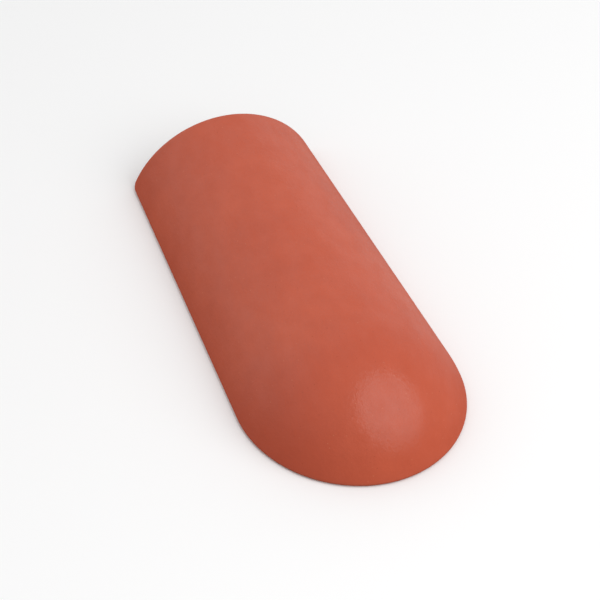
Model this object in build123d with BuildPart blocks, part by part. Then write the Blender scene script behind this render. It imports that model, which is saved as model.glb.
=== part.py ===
from build123d import *

import os
from math import acos, degrees, hypot, sqrt

# Hip starter tile, fired in one piece: a tapered half-round barrel that a dome closes at its wide end.
# It lies hump up along Y, with the dome at -Y, the open narrow end at +Y and its foot on z = 0.

# Finished outside sizes, in millimetres
overall_length = 457.0
wide_width = 203.0
narrow_width = 178.0
wide_rise = 76.0
dome_reach = 114.0

# Clay wall and softened edges, in millimetres
wall = 13.0
arris_radius = 3.0
end_corner_radius = 8.0
cut_overrun = 20.0

# Cross-section: part of a circle whose axis runs level below the foot.
# The rounded foot lies inside the finished widths, so each circle is found from the centre of that rounding.
wide_half_span = wide_width / 2 - arris_radius
wide_radius = (wide_half_span**2 / (wide_rise - 2 * arris_radius) + wide_rise) / 2
axis_depth = wide_radius - wide_rise
arris_height = axis_depth + arris_radius
narrow_half_span = narrow_width / 2 - arris_radius
narrow_radius = hypot(narrow_half_span, arris_height) + arris_radius

# Lengthwise section: an elliptical dome about the widest place, then a straight taper
dome_span = dome_reach - arris_radius
arris_height_share = arris_height / (wide_radius - arris_radius)
dome_semi_axis = dome_span / sqrt(1 - arris_height_share**2) + arris_radius
dome_centre = dome_reach - overall_length / 2
barrel_length = overall_length - dome_reach

# The section hangs below the axis, so that no seam shows on the tile's crest.
section_plane = Plane(origin=(0, dome_centre, -axis_depth), x_dir=(0, 1, 0), z_dir=(-1, 0, 0))
barrel_axis = Axis(section_plane.origin, section_plane.x_dir)


def barrel_section(inset, overrun):
    """Draw half of the lengthwise section, set in from the outside skin by inset.

    The taper is the line through the narrow end's radius that touches the dome's ellipse,
    so barrel and dome meet with no ridge. It goes on past the narrow end by overrun.
    """
    semi_axis = dome_semi_axis - inset
    dome_radius = wide_radius - inset
    end_radius = narrow_radius - inset
    radius_term = end_radius**2 - dome_radius**2
    length_term = barrel_length**2 - semi_axis**2
    root = sqrt((end_radius * barrel_length) ** 2 - radius_term * length_term)
    slope = radius_term / (end_radius * barrel_length + root)
    radius_at_centre = end_radius - slope * barrel_length
    touch_angle = degrees(acos(-semi_axis * slope / radius_at_centre))
    far_end = barrel_length + overrun
    with BuildSketch(section_plane) as section:
        with BuildLine():
            dome = EllipticalCenterArc((0, 0), semi_axis, dome_radius, touch_angle, arc_size=180 - touch_angle)
            taper = Line(dome @ 0, (far_end, radius_at_centre + slope * far_end))
            Polyline(taper @ 1, (far_end, 0), dome @ 1)
        make_face()
    return section.sketch


with BuildPart() as hip_starter_tile:
    # Clay wall: the outer barrel less the hollow, cut level at the foot
    revolve(barrel_section(0, 0), axis=barrel_axis)
    revolve(barrel_section(wall, cut_overrun), axis=barrel_axis, mode=Mode.SUBTRACT)
    split(bisect_by=Plane.XY, keep=Keep.TOP)

    # Rounded corners where the foot meets the narrow end
    fillet(hip_starter_tile.edges().filter_by(Axis.X), end_corner_radius)

    # Softened outer arris: from the narrow end's arch it runs on round the whole foot
    narrow_end = hip_starter_tile.faces().sort_by(Axis.Y)[-1]
    outer_arch = narrow_end.edges().filter_by(GeomType.CIRCLE).sort_by(SortBy.RADIUS)[-1]
    fillet(outer_arch, arris_radius)

hip_starter_tile.part.label = "hip_starter_tile"
os.makedirs("parts", exist_ok=True)
export_step(hip_starter_tile.part, "parts/hip_starter_tile.step")
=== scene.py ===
from math import cos, hypot, pi, radians, sin, sqrt
from types import SimpleNamespace

import bpy
import numpy as np
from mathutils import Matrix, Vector


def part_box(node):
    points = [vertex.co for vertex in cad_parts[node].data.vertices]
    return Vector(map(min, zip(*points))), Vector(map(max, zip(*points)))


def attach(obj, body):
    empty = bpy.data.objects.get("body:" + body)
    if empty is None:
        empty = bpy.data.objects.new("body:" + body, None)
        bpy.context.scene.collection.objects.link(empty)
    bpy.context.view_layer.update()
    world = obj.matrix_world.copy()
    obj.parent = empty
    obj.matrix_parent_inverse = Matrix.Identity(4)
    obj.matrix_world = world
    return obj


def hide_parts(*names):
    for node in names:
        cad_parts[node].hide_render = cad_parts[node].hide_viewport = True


# Hip starter tile: one piece of fired clay that lies hump up along Y, with its dome at -Y.
# Everything is in metres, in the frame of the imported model.

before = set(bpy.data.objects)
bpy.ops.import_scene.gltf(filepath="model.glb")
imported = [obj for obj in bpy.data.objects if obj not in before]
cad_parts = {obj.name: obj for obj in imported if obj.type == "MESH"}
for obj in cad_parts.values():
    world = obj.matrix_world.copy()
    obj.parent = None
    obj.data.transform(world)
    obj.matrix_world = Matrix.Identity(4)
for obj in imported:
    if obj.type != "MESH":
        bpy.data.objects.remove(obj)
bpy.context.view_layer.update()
tile_low, tile_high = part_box("hip_starter_tile")
mm = 0.001

# Outside sizes: the first three are the CAD solid's, and the other two are the part's own
overall_length = 2 * min(tile_high.y, -tile_low.y)
wide_width = 2 * min(tile_high.x, -tile_low.x)
wide_rise = tile_high.z
narrow_width = 178 * mm
dome_reach = 114 * mm

# Clay wall and softened edges
wall = 13 * mm
outer_arris = 3 * mm
inner_arris = 1.2 * mm
end_corner = 8 * mm

# The clay's unevenness: slow waves that sink into the skin, and fade out towards the foot.
# The shortest have this length along the axis, and this rate of turning about it.
wave_depth = 0.25 * mm
wave_fade_height = 25 * mm
wave_length = 130 * mm
wave_turn_rate = 5
wave_count = 7
wave_seed = 11

# Mesh steps, of about 2 mm along the skin
front_half_steps = 66
dome_side_steps = 38
foot_steps = 168
corner_steps = 8
outer_arris_steps = 8
cut_steps = 6
inner_arris_steps = 4
front_corner_sweep = radians(45)
substitution_rounds = 12
tiny = 1e-12

# The clay's patterns: size across, along and up, in millimetres, and how many finer octaves each has.
# Grit, sand and the wire's lines are finer on a real tile, and are drawn this coarse so that they show.
# The shift, in sizes of the pattern, picks the stretch of noise that is used. It is picked for the clouds,
# so that they also paint light and shade: their pale part lies on the barrel's -X side as painted light,
# and their dark part round the dome's lower edge as painted shade.
clay_patterns = {
    # Clouds: kiln colour, placed so that their pale part is painted light on the barrel's -X side and their
    # dark part painted shade round the dome's lower edge
    "kiln_clouds_and_painted_shade": ((210, 210, 210), 2),
    "mottle": ((18, 22, 18), 3),
    "patches": ((11, 26, 11), 2),
    "strokes": ((5, 90, 5), 2),
    "grit": ((3.2, 4.2, 3.2), 3),
    "sand": ((1.8, 1.8, 1.8), 2),
    "wire": ((2, 60, 60), 1),
}
pattern_shift = (5.0, 54.0, 31.0)
octave_share = 0.55
noise_low = 0.3
noise_high = 0.7

# The patterns that stand out of the clay: in which zone, and by how many millimetres
clay_reliefs = {
    "strokes": ("outer", 0.02),
    "grit": ("outer", 0.1),
    "wire": ("cut_face", 0.25),
    "sand": ("underside", 0.25),
}

# Grains, drawn larger than most real ones so that they show. Each cell has a random number from 0 to 1:
# past the top of the first ramp it holds a speck of iron, and under the end of the second one of brick.
grain_spacing_mm = 5.0
grain_radius_mm = 0.5
grain_blur_share = 0.3
grain_ramps = {"iron": (0.78, 0.8), "brick": (0.24, 0.22)}

# Colours: the two that the clouds run between, whose placing also paints light and shade, then what lies
# over them, with its most share
cloud_and_painted_shade_colours = ("#bc543c", "#c85e43")
clay_layers = {
    "mottle": (0.3, "#b14d35"),
    "dull": (0.5, "#c56b50"),
    "worn": (0.3, "#d07a5c"),
    "iron": (0.25, "#7a2f20"),
    "brick": (0.25, "#d68f6e"),
}

# Gloss: how much of the clay the blade's skin covers, its fade towards the foot, and the polish of both.
# Clay's own index is about 1.5. The skin is rich in iron, which raises it: its index and roughness are
# matched to the highlight in the photograph.
skin_cover = (0.27, 0.36)
dull_cover = 0.03
foot_cover_share = 0.3
cover_fade_heights = (5 * mm, 55 * mm)
skin_roughness = 0.22
skin_index = 1.8
clay_index = 1.5
smooth_roughness = (0.5, 0.62)
sandy_roughness = (0.75, 0.95)

# Sockets of the Mix node by number, because its numbers and its colours have the same names
mix_share = 0
first_number = 2
second_number = 3
first_colour = 6
second_colour = 7
mixed_colour = 2

# Camera, as fitted to the outline in the photograph
view_azimuth = radians(-20.259)
view_elevation = radians(41.056)
view_distance = 2258 * mm
view_aim = Vector((-7.44, -12.98, 30.07)) * mm
lens_mm = 151.68
sensor_mm = 36.0
near_clip = 0.1
far_clip = 50

# Studio: each softbox has an azimuth and an elevation in degrees, a width, a height and a radiance
softboxes = {
    "key_softbox": (40, 49, 3.5, 3.8, 1.9),
    "back_right_softbox": (125, 12, 3.4, 1.8, 0.25),
}
lamp_distance = 3.0
wall_azimuth = radians(196)
wall_elevation = radians(-5)
wall_edge = -0.2
room_light = 0.65
wall_light = 1.23
floor_half_width = 20.0
floor_seen = "#fafafa"
floor_bounce = "#bcbcbc"

# Circles of the cross-section, about a level axis below the foot.
# The rounded foot lies inside the outside widths, so each circle is found from the centre of that rounding.
wide_half_span = wide_width / 2 - outer_arris
wide_radius = (wide_half_span**2 / (wide_rise - 2 * outer_arris) + wide_rise) / 2
axis_depth = wide_radius - wide_rise
arris_height = axis_depth + outer_arris
narrow_radius = hypot(narrow_width / 2 - outer_arris, arris_height) + outer_arris

# Ellipse of the dome, about the widest place
arris_height_share = arris_height / (wide_radius - outer_arris)
dome_semi_axis = (dome_reach - outer_arris) / sqrt(1 - arris_height_share**2) + outer_arris
dome_centre = dome_reach - overall_length / 2
barrel_length = overall_length - dome_reach


def clay_skin(inset):
    """Give the sizes of the skin that lies inset from the outside.

    The dome is an ellipse turned about the axis. The taper is the line through the narrow end's radius
    that touches the ellipse, so the two meet with no ridge.
    """
    semi_axis = dome_semi_axis - inset
    dome_radius = wide_radius - inset
    end_radius = narrow_radius - inset
    radius_term = end_radius**2 - dome_radius**2
    length_term = barrel_length**2 - semi_axis**2
    root = sqrt((end_radius * barrel_length) ** 2 - radius_term * length_term)
    slope = radius_term / (end_radius * barrel_length + root)
    radius_at_centre = end_radius - slope * barrel_length
    touch = -slope * semi_axis**2 / radius_at_centre
    return SimpleNamespace(
        semi_axis=semi_axis,
        dome_radius=dome_radius,
        slope=slope,
        radius_at_centre=radius_at_centre,
        touch=touch,
    )


def lengthwise_section(skin, along):
    """Give the skin's radius and its growth at distances along the axis from the dome's centre.

    Radius is that of the ellipse as far as the touching point, and of the straight taper beyond it.
    """
    share = np.clip(along / skin.semi_axis, -1, 1)
    height = np.sqrt(np.maximum(1 - share**2, tiny))
    on_dome = along < skin.touch
    radius = np.where(on_dome, skin.dome_radius * height, skin.radius_at_centre + skin.slope * along)
    growth = np.where(on_dome, -skin.dome_radius * share / (skin.semi_axis * height), skin.slope)
    return radius, growth


def turned_points(skin, turn, along):
    """Place points on the skin: the radius at along, turned about the axis by turn from the crest."""
    radius, _ = lengthwise_section(skin, along)
    return np.stack((radius * np.sin(turn), dome_centre + along, radius * np.cos(turn) - axis_depth), -1)


def outward_normals(skin, points):
    """Give the normals at points of the skin: the radial direction, leaning against the radius's growth."""
    _, growth = lengthwise_section(skin, points[..., 1] - dome_centre)
    turn = np.arctan2(points[..., 0], points[..., 2] + axis_depth)
    lean = np.sqrt(1 + growth**2)
    return np.stack((np.sin(turn) / lean, -growth / lean, np.cos(turn) / lean), -1)


def flatten(skin, points):
    """Lay points of the skin out flat, as (across, along) in radians.

    On the barrel these are the turn about the axis and the distance along it over the dome's semi-axis.
    On the dome they are the angle from its top, pointing the way that the point lies from it in plan.
    """
    along = (points[..., 1] - dome_centre) / skin.semi_axis
    sideways = points[..., 0] / skin.dome_radius
    upright = (points[..., 2] + axis_depth) / skin.dome_radius
    plan = np.maximum(np.hypot(sideways, along), tiny)
    angle = np.arctan2(plan, upright)
    on_dome = along < 0
    across = np.where(on_dome, angle * sideways / plan, np.arctan2(sideways, upright))
    return np.stack((across, np.where(on_dome, angle * along / plan, along)), -1)


def unflatten(skin, flat):
    """Bring flat (across, along) places back to points on the skin, as the reverse of flatten."""
    across, along = flat[..., 0], flat[..., 1]
    angle = np.hypot(across, along)
    shrink = np.sinc(angle / pi)
    dome_points = np.stack(
        (
            skin.dome_radius * shrink * across,
            dome_centre + skin.semi_axis * shrink * along,
            skin.dome_radius * np.cos(angle) - axis_depth,
        ),
        -1,
    )
    barrel_points = turned_points(skin, across, skin.semi_axis * np.maximum(along, 0))
    return np.where((along < 0)[..., None], dome_points, barrel_points)


def half_edge(skin, radius, side):
    """Follow a skin's edge from the dome's front, round the foot and its corner, up to the crest.

    A ball of the arris's radius rolls inside the clay, touching the skin and the cut face. Given are where
    it touches the skin, its centre, and the normals of the skin and the cut face, both out of the clay.
    The cut face is level along the foot, turns up round the corner, and is upright at the narrow end.
    """
    depth = side * radius
    lean = sqrt(1 + skin.slope**2)
    taper_shift = -depth * skin.slope / lean

    # Round the dome's foot the touching point's angle from the top comes by repeated substitution
    sweep = np.concatenate((
        np.linspace(0, front_corner_sweep, front_half_steps + 1),
        np.linspace(front_corner_sweep, pi / 2, dome_side_steps + 1)[1:],
    ))
    upright = np.full_like(sweep, arris_height / wide_radius)
    for _ in range(substitution_rounds):
        level = np.sqrt(1 - upright**2)
        slant = np.sqrt(
            (level * np.sin(sweep) / skin.dome_radius) ** 2
            + (level * np.cos(sweep) / skin.semi_axis) ** 2
            + (upright / skin.dome_radius) ** 2
        )
        normal_height = upright / (skin.dome_radius * slant)
        upright = (axis_depth + radius + depth * normal_height) / skin.dome_radius
    level = np.sqrt(1 - upright**2)
    dome_foot = np.stack(
        (
            skin.dome_radius * level * np.sin(sweep),
            dome_centre - skin.semi_axis * level * np.cos(sweep),
            skin.dome_radius * upright - axis_depth,
        ),
        -1,
    )

    # Along the barrel's foot and round the corner the ball's height gives the turn from the crest
    tilt = np.linspace(0, pi / 2, corner_steps + 1)[1:]
    ball_reach = end_corner - radius
    foot_end = barrel_length - end_corner + taper_shift
    along = np.concatenate((
        np.linspace(0, foot_end, foot_steps + 1)[1:],
        foot_end + ball_reach * np.sin(tilt),
    ))
    ball_height = np.concatenate((np.full(foot_steps, radius), end_corner - ball_reach * np.cos(tilt)))
    section_radius, growth = lengthwise_section(skin, along)
    ball_radius = section_radius - depth / np.sqrt(1 + growth**2)
    turn = np.arccos((axis_depth + ball_height) / ball_radius)

    # The narrow end's arch runs from the corner to the crest
    arch_steps = front_half_steps - corner_steps // 2
    arch_turn = np.linspace(turn[-1], 0, arch_steps + 1)[1:]
    turn = np.concatenate((turn, arch_turn))
    along = np.concatenate((along, np.full(arch_steps, along[-1])))

    touching = np.concatenate((dome_foot, turned_points(skin, turn, along)))
    normals = outward_normals(skin, touching)
    tilts = np.concatenate((np.zeros(len(sweep) + foot_steps), tilt, np.full(arch_steps, pi / 2)))
    cut_normals = np.stack((np.zeros_like(tilts), np.sin(tilts), -np.cos(tilts)), -1)
    return touching, touching - depth * normals, side * normals, cut_normals


def both_sides(half):
    """Close a half edge into a loop: the +X half, then its mirror image back to the dome's front."""
    return np.concatenate((half, half[-2:0:-1] * (-1, 1, 1)))


def arris_rows(edge, radius, shares):
    """Round off an edge, from the skin's normal to the cut face's by shares of the angle between them."""
    _, centres, normals, cut_normals = edge
    angle = np.arccos(np.clip((normals * cut_normals).sum(-1), -1, 1))[None, :, None]
    share = shares[:, None, None]
    directions = np.sin((1 - share) * angle) * normals + np.sin(share * angle) * cut_normals
    return centres + radius * directions / np.sin(angle)


def skin_grid(skin, half_touching):
    """Fill a skin's edge with a grid, from the dome's front to the narrow end and from side to side.

    In the flat layout each place is the blend of its two side points plus the blend of its front and end
    points, less the blend of the four corners, which is a Coons patch. It is then brought back to the skin.
    """
    flat = flatten(skin, half_touching)
    mirror = np.array((-1, 1))
    front_half = flat[: front_half_steps + 1]
    side = flat[front_half_steps : len(flat) - front_half_steps]
    end_half = flat[len(flat) - front_half_steps - 1 :][::-1]
    front = np.concatenate((front_half[:0:-1] * mirror, front_half))
    end = np.concatenate((end_half[:0:-1] * mirror, end_half))
    rows = np.linspace(0, 1, len(side))[:, None, None]
    columns = np.linspace(0, 1, len(front))[None, :, None]
    sides = (1 - columns) * (side * mirror)[:, None] + columns * side[:, None]
    ends = (1 - rows) * front[None] + rows * end[None]
    first_corners = (1 - columns) * front[0] + columns * front[-1]
    last_corners = (1 - columns) * end[0] + columns * end[-1]
    return unflatten(skin, sides + ends - (1 - rows) * first_corners - rows * last_corners)


def sink_waves(points):
    """Move points towards the axis by slow waves, as clay gives a little while it dries and is fired.

    The depth is the mean of a few cosines of the distance along and the turn about the axis, brought to
    0 to 1, times an ease that is 0 at the foot, so the foot stays flat.
    """
    random = np.random.default_rng(wave_seed)
    along_rate = random.uniform(-1, 1, wave_count) * 2 * pi / wave_length
    turn_rate = random.uniform(-1, 1, wave_count) * wave_turn_rate
    phase = random.uniform(0, 2 * pi, wave_count)
    upright = points[..., 2] + axis_depth
    turn = np.arctan2(points[..., 0], upright)
    waves = np.cos(points[..., 1, None] * along_rate + turn[..., None] * turn_rate + phase).mean(-1)
    lift = np.clip(points[..., 2] / wave_fade_height, 0, 1)
    depth = wave_depth * (0.5 + 0.5 * waves) * lift**2 * (3 - 2 * lift)
    outward = np.stack((np.sin(turn), np.zeros_like(turn), np.cos(turn)), -1)
    return points - depth[..., None] * outward


def grid_faces(indices):
    """Join a grid of vertex numbers into quads.

    Seen from outside, a quad goes anticlockwise: along its row, on to the next row, and back.
    """
    corners = (indices[:-1, :-1], indices[:-1, 1:], indices[1:, 1:], indices[1:, :-1])
    return np.stack(corners, -1).reshape(-1, 4)


def mesh_piece(name, points, faces, attributes):
    """Make a smooth mesh object at the origin, with a number of each attribute for every point."""
    mesh = bpy.data.meshes.new(name)
    mesh.vertices.add(len(points))
    mesh.vertices.foreach_set("co", points.astype(np.float32).ravel())
    mesh.loops.add(faces.size)
    mesh.loops.foreach_set("vertex_index", faces.astype(np.int32).ravel())
    mesh.polygons.add(len(faces))
    mesh.polygons.foreach_set("loop_start", np.arange(0, faces.size, faces.shape[1], dtype=np.int32))
    mesh.update(calc_edges=True)
    mesh.validate()
    mesh.shade_smooth()
    for label, values in attributes.items():
        layer = mesh.attributes.new(label, "FLOAT", "POINT")
        layer.data.foreach_set("value", values.astype(np.float32))
    piece = bpy.data.objects.new(name, mesh)
    bpy.context.scene.collection.objects.link(piece)
    return piece


def tile_body():
    """Make the whole tile as one closed mesh: outer skin, cut edge and inner skin.

    The cut edge is a profile carried round the loop of the edge: outer arris, flat cut face, inner arris.
    Each point keeps how far it belongs to the cut face, to an arris and to the underside.
    """
    outer = clay_skin(0)
    inner = clay_skin(wall)
    outer_half = half_edge(outer, outer_arris, 1)
    inner_half = half_edge(inner, inner_arris, -1)
    outer_grid = skin_grid(outer, outer_half[0])
    inner_grid = skin_grid(inner, inner_half[0])

    # Profile of the cut edge, row by row from the outer skin to the inner one
    outer_shares = np.linspace(0, 1, outer_arris_steps + 1)[1:]
    inner_shares = np.linspace(1, 0, inner_arris_steps + 1)[:-1]
    cut_shares = np.linspace(0, 1, cut_steps + 1)[1:-1]
    outer_rows = arris_rows([both_sides(line) for line in outer_half], outer_arris, outer_shares)
    inner_rows = arris_rows([both_sides(line) for line in inner_half], inner_arris, inner_shares)
    cut_share = cut_shares[:, None, None]
    cut_rows = (1 - cut_share) * outer_rows[-1] + cut_share * inner_rows[0]
    edge_rows = np.concatenate((outer_rows, cut_rows, inner_rows))
    cut_zeros = np.zeros_like(cut_shares)
    row_cut = np.concatenate((outer_shares, np.ones_like(cut_shares), inner_shares))
    row_arris = np.concatenate((np.sin(pi * outer_shares), cut_zeros, np.sin(pi * inner_shares)))
    row_inside = np.concatenate((np.zeros_like(outer_shares), cut_zeros, 1 - inner_shares))

    # Vertex numbers of the three parts, and the skins' border in the order of the edge's loop
    shape = outer_grid.shape[:2]
    outer_numbers = np.arange(outer_grid[..., 0].size).reshape(shape)
    inner_numbers = outer_numbers + outer_numbers.size
    edge_numbers = np.arange(edge_rows[..., 0].size).reshape(edge_rows.shape[:2]) + 2 * outer_numbers.size

    def border(numbers):
        """List a grid's border: right half of the front, right side, end, left side, rest of the front."""
        middle = front_half_steps
        parts = (
            numbers[0, middle:],
            numbers[1:, -1],
            numbers[-1, -2::-1],
            numbers[-2::-1, 0],
            numbers[0, 1:middle],
        )
        return np.concatenate(parts)

    rows = np.concatenate((border(outer_numbers)[None], edge_numbers, border(inner_numbers)[None]))
    closed_rows = np.concatenate((rows, rows[:, :1]), 1)
    faces = np.concatenate((
        grid_faces(outer_numbers),
        grid_faces(inner_numbers)[:, ::-1],
        grid_faces(closed_rows)[:, ::-1],
    ))
    points = np.concatenate([part.reshape(-1, 3) for part in (outer_grid, inner_grid, edge_rows)])

    skin_zeros = np.zeros(outer_numbers.size)
    skin_ones = np.ones(outer_numbers.size)
    loop_ones = np.ones(edge_rows.shape[1])
    attributes = {
        "cut_face": np.concatenate((skin_zeros, skin_zeros, np.outer(row_cut, loop_ones).ravel())),
        "arris": np.concatenate((skin_zeros, skin_zeros, np.outer(row_arris, loop_ones).ravel())),
        "underside": np.concatenate((skin_zeros, skin_ones, np.outer(row_inside, loop_ones).ravel())),
    }
    return mesh_piece("tile_body", sink_waves(points), faces, attributes)


def colour(code):
    """Turn an sRGB hex value into linear red, green, blue and alpha."""
    srgb = np.array([int(code[place : place + 2], 16) for place in (1, 3, 5)]) / 255
    linear = np.where(srgb <= 0.04045, srgb / 12.92, ((srgb + 0.055) / 1.055) ** 2.4)
    return (*linear.tolist(), 1.0)


def add_node(tree, kind, inputs=None, **settings):
    """Add a node with its settings. Each input is a value, or another node's output to link to it."""
    made = tree.nodes.new(kind)
    for name, value in settings.items():
        setattr(made, name, value)
    for socket, value in (inputs or {}).items():
        if isinstance(value, bpy.types.NodeSocket):
            tree.links.new(value, made.inputs[socket])
        else:
            made.inputs[socket].default_value = value
    return made


def empty_material(name):
    """Start a material with an empty node tree."""
    material = bpy.data.materials.new(name)
    material.use_nodes = True
    material.node_tree.nodes.clear()
    return material


def clay_zones(tree):
    """Read the mesh's zones, and work out two more: cut or sanded clay is dull, and the rest is outer."""
    zones = {}
    for name in ("cut_face", "arris", "underside"):
        zones[name] = add_node(tree, "ShaderNodeAttribute", attribute_name=name).outputs["Fac"]
    zones["dull"] = add_node(
        tree,
        "ShaderNodeMath",
        {0: zones["cut_face"], 1: zones["underside"]},
        operation="MAXIMUM",
    ).outputs[0]
    zones["outer"] = add_node(
        tree,
        "ShaderNodeMath",
        {0: 1.0, 1: zones["dull"]},
        operation="SUBTRACT",
    ).outputs[0]
    return zones


def uneven_patterns(tree, place):
    """Make the clay's patterns: noise stretched to each one's size, and brought to 0 to 1."""
    patterns = {}
    for name, (sizes_mm, octaves) in clay_patterns.items():
        laid = add_node(
            tree,
            "ShaderNodeMapping",
            {"Vector": place, "Location": pattern_shift, "Scale": [1 / (size * mm) for size in sizes_mm]},
        )
        noise = add_node(
            tree,
            "ShaderNodeTexNoise",
            {"Vector": laid.outputs[0], "Scale": 1.0, "Detail": octaves, "Roughness": octave_share},
        )
        patterns[name] = add_node(
            tree,
            "ShaderNodeMapRange",
            {"Value": noise.outputs["Fac"], "From Min": noise_low, "From Max": noise_high},
        ).outputs[0]
    return patterns


def grain_masks(tree, place):
    """Strew grains: in some of the cells a round speck lies at the cell's own point."""
    cells = add_node(tree, "ShaderNodeTexVoronoi", {"Vector": place, "Scale": 1 / (grain_spacing_mm * mm)})
    chance = add_node(tree, "ShaderNodeSeparateColor", {0: cells.outputs["Color"]}).outputs[0]
    edge = grain_radius_mm / grain_spacing_mm
    speck = add_node(
        tree,
        "ShaderNodeMapRange",
        {
            "Value": cells.outputs["Distance"],
            "From Min": (1 + grain_blur_share) * edge,
            "From Max": (1 - grain_blur_share) * edge,
        },
    ).outputs[0]
    grains = {}
    for name, (start, end) in grain_ramps.items():
        chosen = add_node(tree, "ShaderNodeMapRange", {"Value": chance, "From Min": start, "From Max": end})
        grains[name] = add_node(
            tree,
            "ShaderNodeMath",
            {0: chosen.outputs[0], 1: speck},
            operation="MULTIPLY",
        ).outputs[0]
    return grains


def clay_colour(tree, zones, patterns, grains):
    """Lay the colours: clouds that also paint light and shade, mottling, the paler cut and sanded faces,
    rubbed edges, then the grains.
    """
    worn = add_node(
        tree,
        "ShaderNodeMath",
        {0: zones["arris"], 1: patterns["mottle"]},
        operation="MULTIPLY",
    ).outputs[0]
    masks = {"mottle": patterns["mottle"], "dull": zones["dull"], "worn": worn, **grains}
    dark_cloud_and_painted_shade, pale_cloud_and_painted_light = cloud_and_painted_shade_colours
    # The clouds are kiln colour, and also painted light on the barrel's -X side and painted shade round the
    # dome's lower edge
    clay = add_node(
        tree,
        "ShaderNodeMix",
        {
            mix_share: patterns["kiln_clouds_and_painted_shade"],
            first_colour: colour(dark_cloud_and_painted_shade),
            second_colour: colour(pale_cloud_and_painted_light),
        },
        data_type="RGBA",
    ).outputs[mixed_colour]
    for name, (most, code) in clay_layers.items():
        share = add_node(tree, "ShaderNodeMath", {0: masks[name], 1: most}, operation="MULTIPLY").outputs[0]
        clay = add_node(
            tree,
            "ShaderNodeMix",
            {mix_share: share, first_colour: clay, second_colour: colour(code)},
            data_type="RGBA",
        ).outputs[mixed_colour]
    return clay


def skin_gloss(tree, place, zones, patterns):
    """Give the cover of the blade's skin, and the roughness of the clay under it.

    The cover is patchy, thins out smoothly towards the foot, and is all but missing where the clay is cut
    or sanded. The roughness follows the blade's strokes outside and the sand elsewhere.
    """
    ranges = {"patches": skin_cover, "strokes": smooth_roughness, "sand": sandy_roughness}
    levels = {}
    for name, (least, most) in ranges.items():
        levels[name] = add_node(
            tree,
            "ShaderNodeMapRange",
            {"Value": patterns[name], "To Min": least, "To Max": most},
        ).outputs[0]
    fade_start, fade_end = cover_fade_heights
    height = add_node(tree, "ShaderNodeSeparateXYZ", {0: place}).outputs["Z"]
    reach = add_node(
        tree,
        "ShaderNodeMapRange",
        {"Value": height, "From Min": fade_start, "From Max": fade_end, "To Min": foot_cover_share},
        interpolation_type="SMOOTHSTEP",
    ).outputs[0]
    drawn = add_node(
        tree,
        "ShaderNodeMath",
        {0: levels["patches"], 1: reach},
        operation="MULTIPLY",
    ).outputs[0]
    cover = add_node(
        tree,
        "ShaderNodeMix",
        {mix_share: zones["dull"], first_number: drawn, second_number: dull_cover},
    ).outputs[0]
    roughness = add_node(
        tree,
        "ShaderNodeMix",
        {mix_share: zones["dull"], first_number: levels["strokes"], second_number: levels["sand"]},
    ).outputs[0]
    return cover, roughness


def clay_relief(tree, zones, patterns):
    """Raise the patterns in their zones, each bump on the one before, and give the normals after each.

    Blade strokes and grit show outside, wire lines on the cut edge, and sand underneath.
    """
    normals = {}
    before = {}
    for name, (zone, relief_mm) in clay_reliefs.items():
        height = add_node(
            tree,
            "ShaderNodeMath",
            {0: patterns[name], 1: zones[zone]},
            operation="MULTIPLY",
        ).outputs[0]
        bump = add_node(tree, "ShaderNodeBump", {"Height": height, "Distance": relief_mm * mm, **before})
        normals[name] = bump.outputs[0]
        before = {"Normal": normals[name]}
    return normals


def fired_terracotta():
    """Terracotta: iron-red clay, pressed over a mould, smoothed with a wet blade and fired unglazed.

    To the eye the body is matt and porous, with faint clouds of colour from the kiln, pale grains of
    crushed brick and dark specks of iron. The clouds are placed so that they also paint light on the
    barrel's -X side and shade round the dome's lower edge. The blade draws a thin, dense skin of iron-rich
    clay over the outer face. It covers only part of the pores, and less of them towards the foot, so it
    mirrors a lamp softly and hardly brightens at the rims. Fine grit under it breaks the edge of the gloss.
    The edge is cut by a wire that drags grit along, and the underside keeps the mould's sand, so both are
    dull.
    """
    material = empty_material("fired_terracotta")
    tree = material.node_tree
    place = add_node(tree, "ShaderNodeTexCoord").outputs["Object"]
    zones = clay_zones(tree)
    patterns = uneven_patterns(tree, place)
    grains = grain_masks(tree, place)
    cover, roughness = skin_gloss(tree, place, zones, patterns)
    normals = clay_relief(tree, zones, patterns)
    shader = add_node(
        tree,
        "ShaderNodeBsdfPrincipled",
        {
            "Base Color": clay_colour(tree, zones, patterns, grains),
            "Roughness": roughness,
            "IOR": clay_index,
            "Specular IOR Level": 0.0,
            "Coat Weight": cover,
            "Coat Roughness": skin_roughness,
            "Coat IOR": skin_index,
            "Normal": normals["sand"],
            "Coat Normal": normals["grit"],
        },
    )
    add_node(tree, "ShaderNodeOutputMaterial", {"Surface": shader.outputs["BSDF"]})
    return material


def pale_floor():
    """Matt white paint on a studio floor, with the tile's soft shadow on it.

    To the camera and in a gloss it is near white. The light that it throws back on the tile is that of a
    greyer floor, so that the tile's flanks stay as dark towards the foot as in the photograph.
    """
    material = empty_material("pale_floor")
    tree = material.node_tree
    path = add_node(tree, "ShaderNodeLightPath")
    mirrored = add_node(
        tree,
        "ShaderNodeMath",
        {0: path.outputs["Is Glossy Ray"], 1: path.outputs["Is Transmission Ray"]},
        operation="MAXIMUM",
    )
    seen = add_node(
        tree,
        "ShaderNodeMath",
        {0: path.outputs["Is Camera Ray"], 1: mirrored.outputs[0]},
        operation="MAXIMUM",
    )
    shade = add_node(
        tree,
        "ShaderNodeMix",
        {mix_share: seen.outputs[0], first_colour: colour(floor_bounce), second_colour: colour(floor_seen)},
        data_type="RGBA",
    )
    matt = add_node(tree, "ShaderNodeBsdfDiffuse", {"Color": shade.outputs[mixed_colour]})
    add_node(tree, "ShaderNodeOutputMaterial", {"Surface": matt.outputs[0]})
    return material


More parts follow.
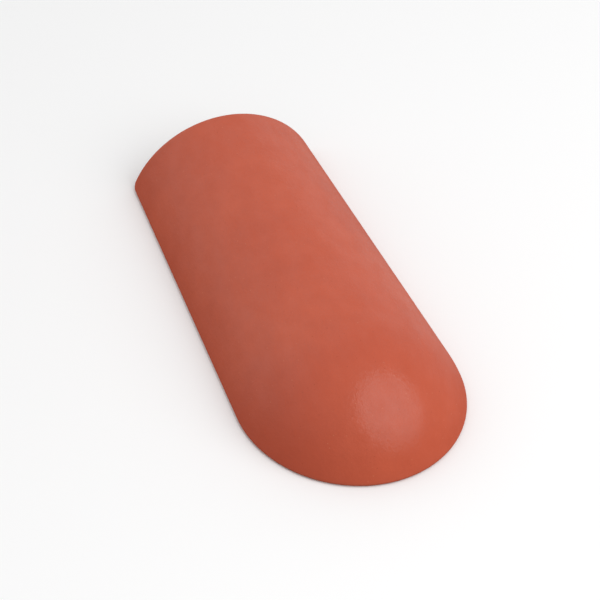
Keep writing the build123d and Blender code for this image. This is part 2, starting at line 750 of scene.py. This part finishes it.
def studio_floor():
    """Lay a flat square floor under the tile."""
    corners = np.array(((-1, -1, 0), (1, -1, 0), (1, 1, 0), (-1, 1, 0)))
    floor = mesh_piece("floor", floor_half_width * corners, np.array(((0, 1, 2, 3),)), {})
    floor.data.materials.append(pale_floor())


def direction(azimuth, elevation):
    """Give the way from the tile towards an azimuth, counted from -Y towards +X, and an elevation."""
    level = cos(elevation)
    return Vector((sin(azimuth) * level, -cos(azimuth) * level, sin(elevation)))


def stand_facing(holder, aim, azimuth, elevation, distance):
    """Stand a lamp or the camera at a distance from a point, facing it, and put it in the scene."""
    towards = direction(azimuth, elevation)
    holder.location = aim + towards * distance
    holder.rotation_euler = (-towards).to_track_quat("-Z", "Y").to_euler()
    bpy.context.scene.collection.objects.link(holder)


def softbox(name, azimuth, elevation, width, height, radiance):
    """Hang an oval softbox that faces the tile. Its power is radiance times pi times its area."""
    lamp = bpy.data.lights.new(name, "AREA")
    lamp.shape = "ELLIPSE"
    lamp.size = width
    lamp.size_y = height
    lamp.energy = radiance * pi * (width * height * pi / 4)
    holder = bpy.data.objects.new(name, lamp)
    holder.visible_camera = False
    stand_facing(holder, Vector(), azimuth, elevation, lamp_distance)


def studio_world():
    """Light the tile from all round, rising smoothly towards a bright wall beyond its narrow end."""
    world = bpy.data.worlds.new("studio_world")
    world.use_nodes = True
    tree = world.node_tree
    tree.nodes.clear()
    towards = add_node(tree, "ShaderNodeTexCoord").outputs["Generated"]
    facing = add_node(
        tree,
        "ShaderNodeVectorMath",
        {0: towards, 1: direction(wall_azimuth, wall_elevation)},
        operation="DOT_PRODUCT",
    )
    level = add_node(
        tree,
        "ShaderNodeMapRange",
        {
            "Value": facing.outputs["Value"],
            "From Min": wall_edge,
            "To Min": room_light,
            "To Max": wall_light,
        },
        interpolation_type="SMOOTHSTEP",
    )
    light = add_node(tree, "ShaderNodeBackground", {"Strength": level.outputs[0]})
    add_node(tree, "ShaderNodeOutputWorld", {"Surface": light.outputs[0]})
    bpy.context.scene.world = world


def photograph_camera():
    """Stand the camera where the photograph was taken from."""
    camera = bpy.data.cameras.new("camera")
    camera.lens = lens_mm
    camera.sensor_width = sensor_mm
    camera.clip_start = near_clip
    camera.clip_end = far_clip
    holder = bpy.data.objects.new("camera", camera)
    stand_facing(holder, view_aim, view_azimuth, view_elevation, view_distance)
    bpy.context.scene.camera = holder


tile = tile_body()
tile.data.materials.append(fired_terracotta())
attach(tile, "root")
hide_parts("hip_starter_tile")

studio_floor()
for name, (azimuth_deg, elevation_deg, *sizes_and_radiance) in softboxes.items():
    softbox(name, radians(azimuth_deg), radians(elevation_deg), *sizes_and_radiance)
studio_world()
photograph_camera()
bpy.context.scene.view_settings.view_transform = "Standard"
